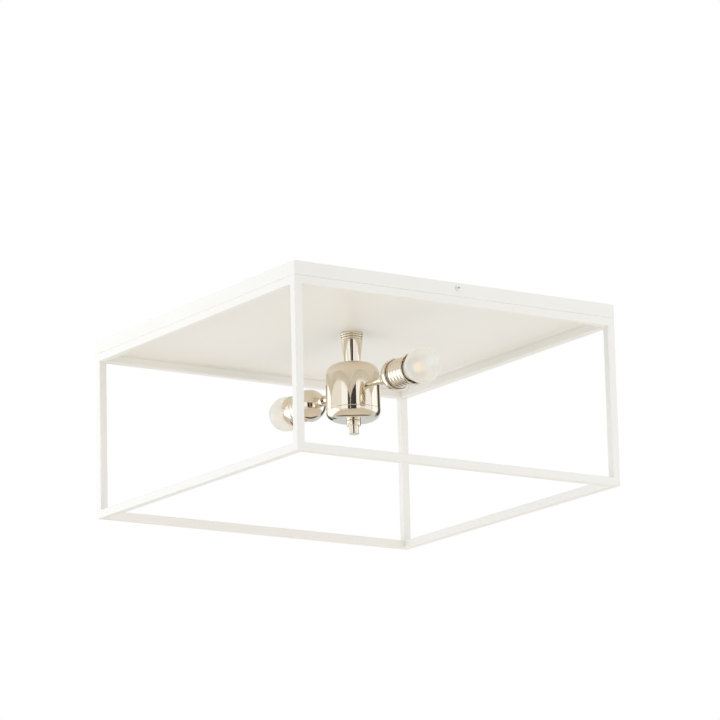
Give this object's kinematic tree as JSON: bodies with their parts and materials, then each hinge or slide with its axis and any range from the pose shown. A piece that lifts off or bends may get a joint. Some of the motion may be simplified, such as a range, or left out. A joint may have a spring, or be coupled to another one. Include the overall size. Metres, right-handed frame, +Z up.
{
  "type": "flush mount ceiling light",
  "caption": "Square open-frame ceiling light: white canopy pan and tube frame round a turned nickel column whose straight arms carry ribbed lampholders with frosted globe bulbs.",
  "frame": {"origin": "middle of the ceiling plane, on the column's axis, at the upper face of the ceiling strap", "axes": "+Z up into the ceiling, -Y towards the front lampholder, +X to the right"},
  "size_m": [0.457, 0.4614, 0.223],
  "materials": {
    "white_paint": "smooth satin white powder coat",
    "polished_nickel": "polished nickel plate, slightly warm",
    "zinc_steel": "bright zinc plate",
    "brass": "plain pressed brass",
    "holder_insulation": "unglazed porcelain",
    "solder": "dull solder",
    "black_glass": "black insulating glass",
    "bulb_shell": "bright rolled thread shell",
    "frosted_glass": "inside-frosted",
    "clear_glass": "clear",
    "filament_phosphor": "warm yellow phosphor coating"
  },
  "bodies": {
    "fixture": {"canopy_pan": "white_paint", "top_rail_front": "white_paint", "top_rail_right": "white_paint", "top_rail_back": "white_paint", "top_rail_left": "white_paint", "bottom_rail_front": "white_paint", "bottom_rail_right": "white_paint", "bottom_rail_back": "white_paint", "bottom_rail_left": "white_paint", "post_front_left": "white_paint", "post_front_right": "white_paint", "post_back_right": "white_paint", "post_back_left": "white_paint", "canopy_screws": "polished_nickel", "stem_collar": "polished_nickel", "stem_cone": "polished_nickel", "body_bell": "polished_nickel", "lower_cap": "polished_nickel", "finial": "polished_nickel", "ceiling_strap": "zinc_steel", "frame_screws": "zinc_steel", "centre_tube": "zinc_steel", "tube_washer": "zinc_steel", "tube_locknut": "zinc_steel", "bell_nut": "zinc_steel", "earth_screw": "brass", "arm_front": "polished_nickel", "arm_collar_front": "polished_nickel", "holder_dome_front": "polished_nickel", "holder_sleeve_front": "polished_nickel", "arm_nuts_front": "zinc_steel", "holder_insert_front": "holder_insulation", "screw_shell_front": "brass", "centre_contact_front": "brass", "arm_back": "polished_nickel", "arm_collar_back": "polished_nickel", "holder_dome_back": "polished_nickel", "holder_sleeve_back": "polished_nickel", "arm_nuts_back": "zinc_steel", "holder_insert_back": "holder_insulation", "screw_shell_back": "brass", "centre_contact_back": "brass"},
    "bulb_front_lift": {"bulb_contact_front": "solder"},
    "bulb_front": {"bulb_insulator_front": "black_glass", "bulb_base_front": "bulb_shell", "bulb_glass_front": "frosted_glass", "light_stem_front": "clear_glass", "light_filaments_front": "filament_phosphor"},
    "bulb_back_lift": {"bulb_contact_back": "solder"},
    "bulb_back": {"bulb_insulator_back": "black_glass", "bulb_base_back": "bulb_shell", "bulb_glass_back": "frosted_glass", "light_stem_back": "clear_glass", "light_filaments_back": "filament_phosphor"}
  },
  "joints": [
    {"name": "bulb_front_draw", "type": "slide", "parent": "fixture", "child": "bulb_front_lift", "axis": [0, -1, 0], "range_m": [0, 0.0182]},
    {"name": "bulb_front_unscrew", "type": "hinge", "parent": "bulb_front_lift", "child": "bulb_front", "pos_m": [0, -0.152, -0.0836], "axis": [0, -1, 0], "range_deg": [0, 1800]},
    {"name": "bulb_back_draw", "type": "slide", "parent": "fixture", "child": "bulb_back_lift", "axis": [0, 1, 0], "range_m": [0, 0.0182]},
    {"name": "bulb_back_unscrew", "type": "hinge", "parent": "bulb_back_lift", "child": "bulb_back", "pos_m": [0, 0.152, -0.0836], "axis": [0, 1, 0], "range_deg": [0, 1800]}
  ],
  "couplings": [
    {"joint": "bulb_front_draw", "follows": "bulb_front_unscrew", "m_per_rad": 0.0005775},
    {"joint": "bulb_back_draw", "follows": "bulb_back_unscrew", "m_per_rad": 0.0005775}
  ]
}
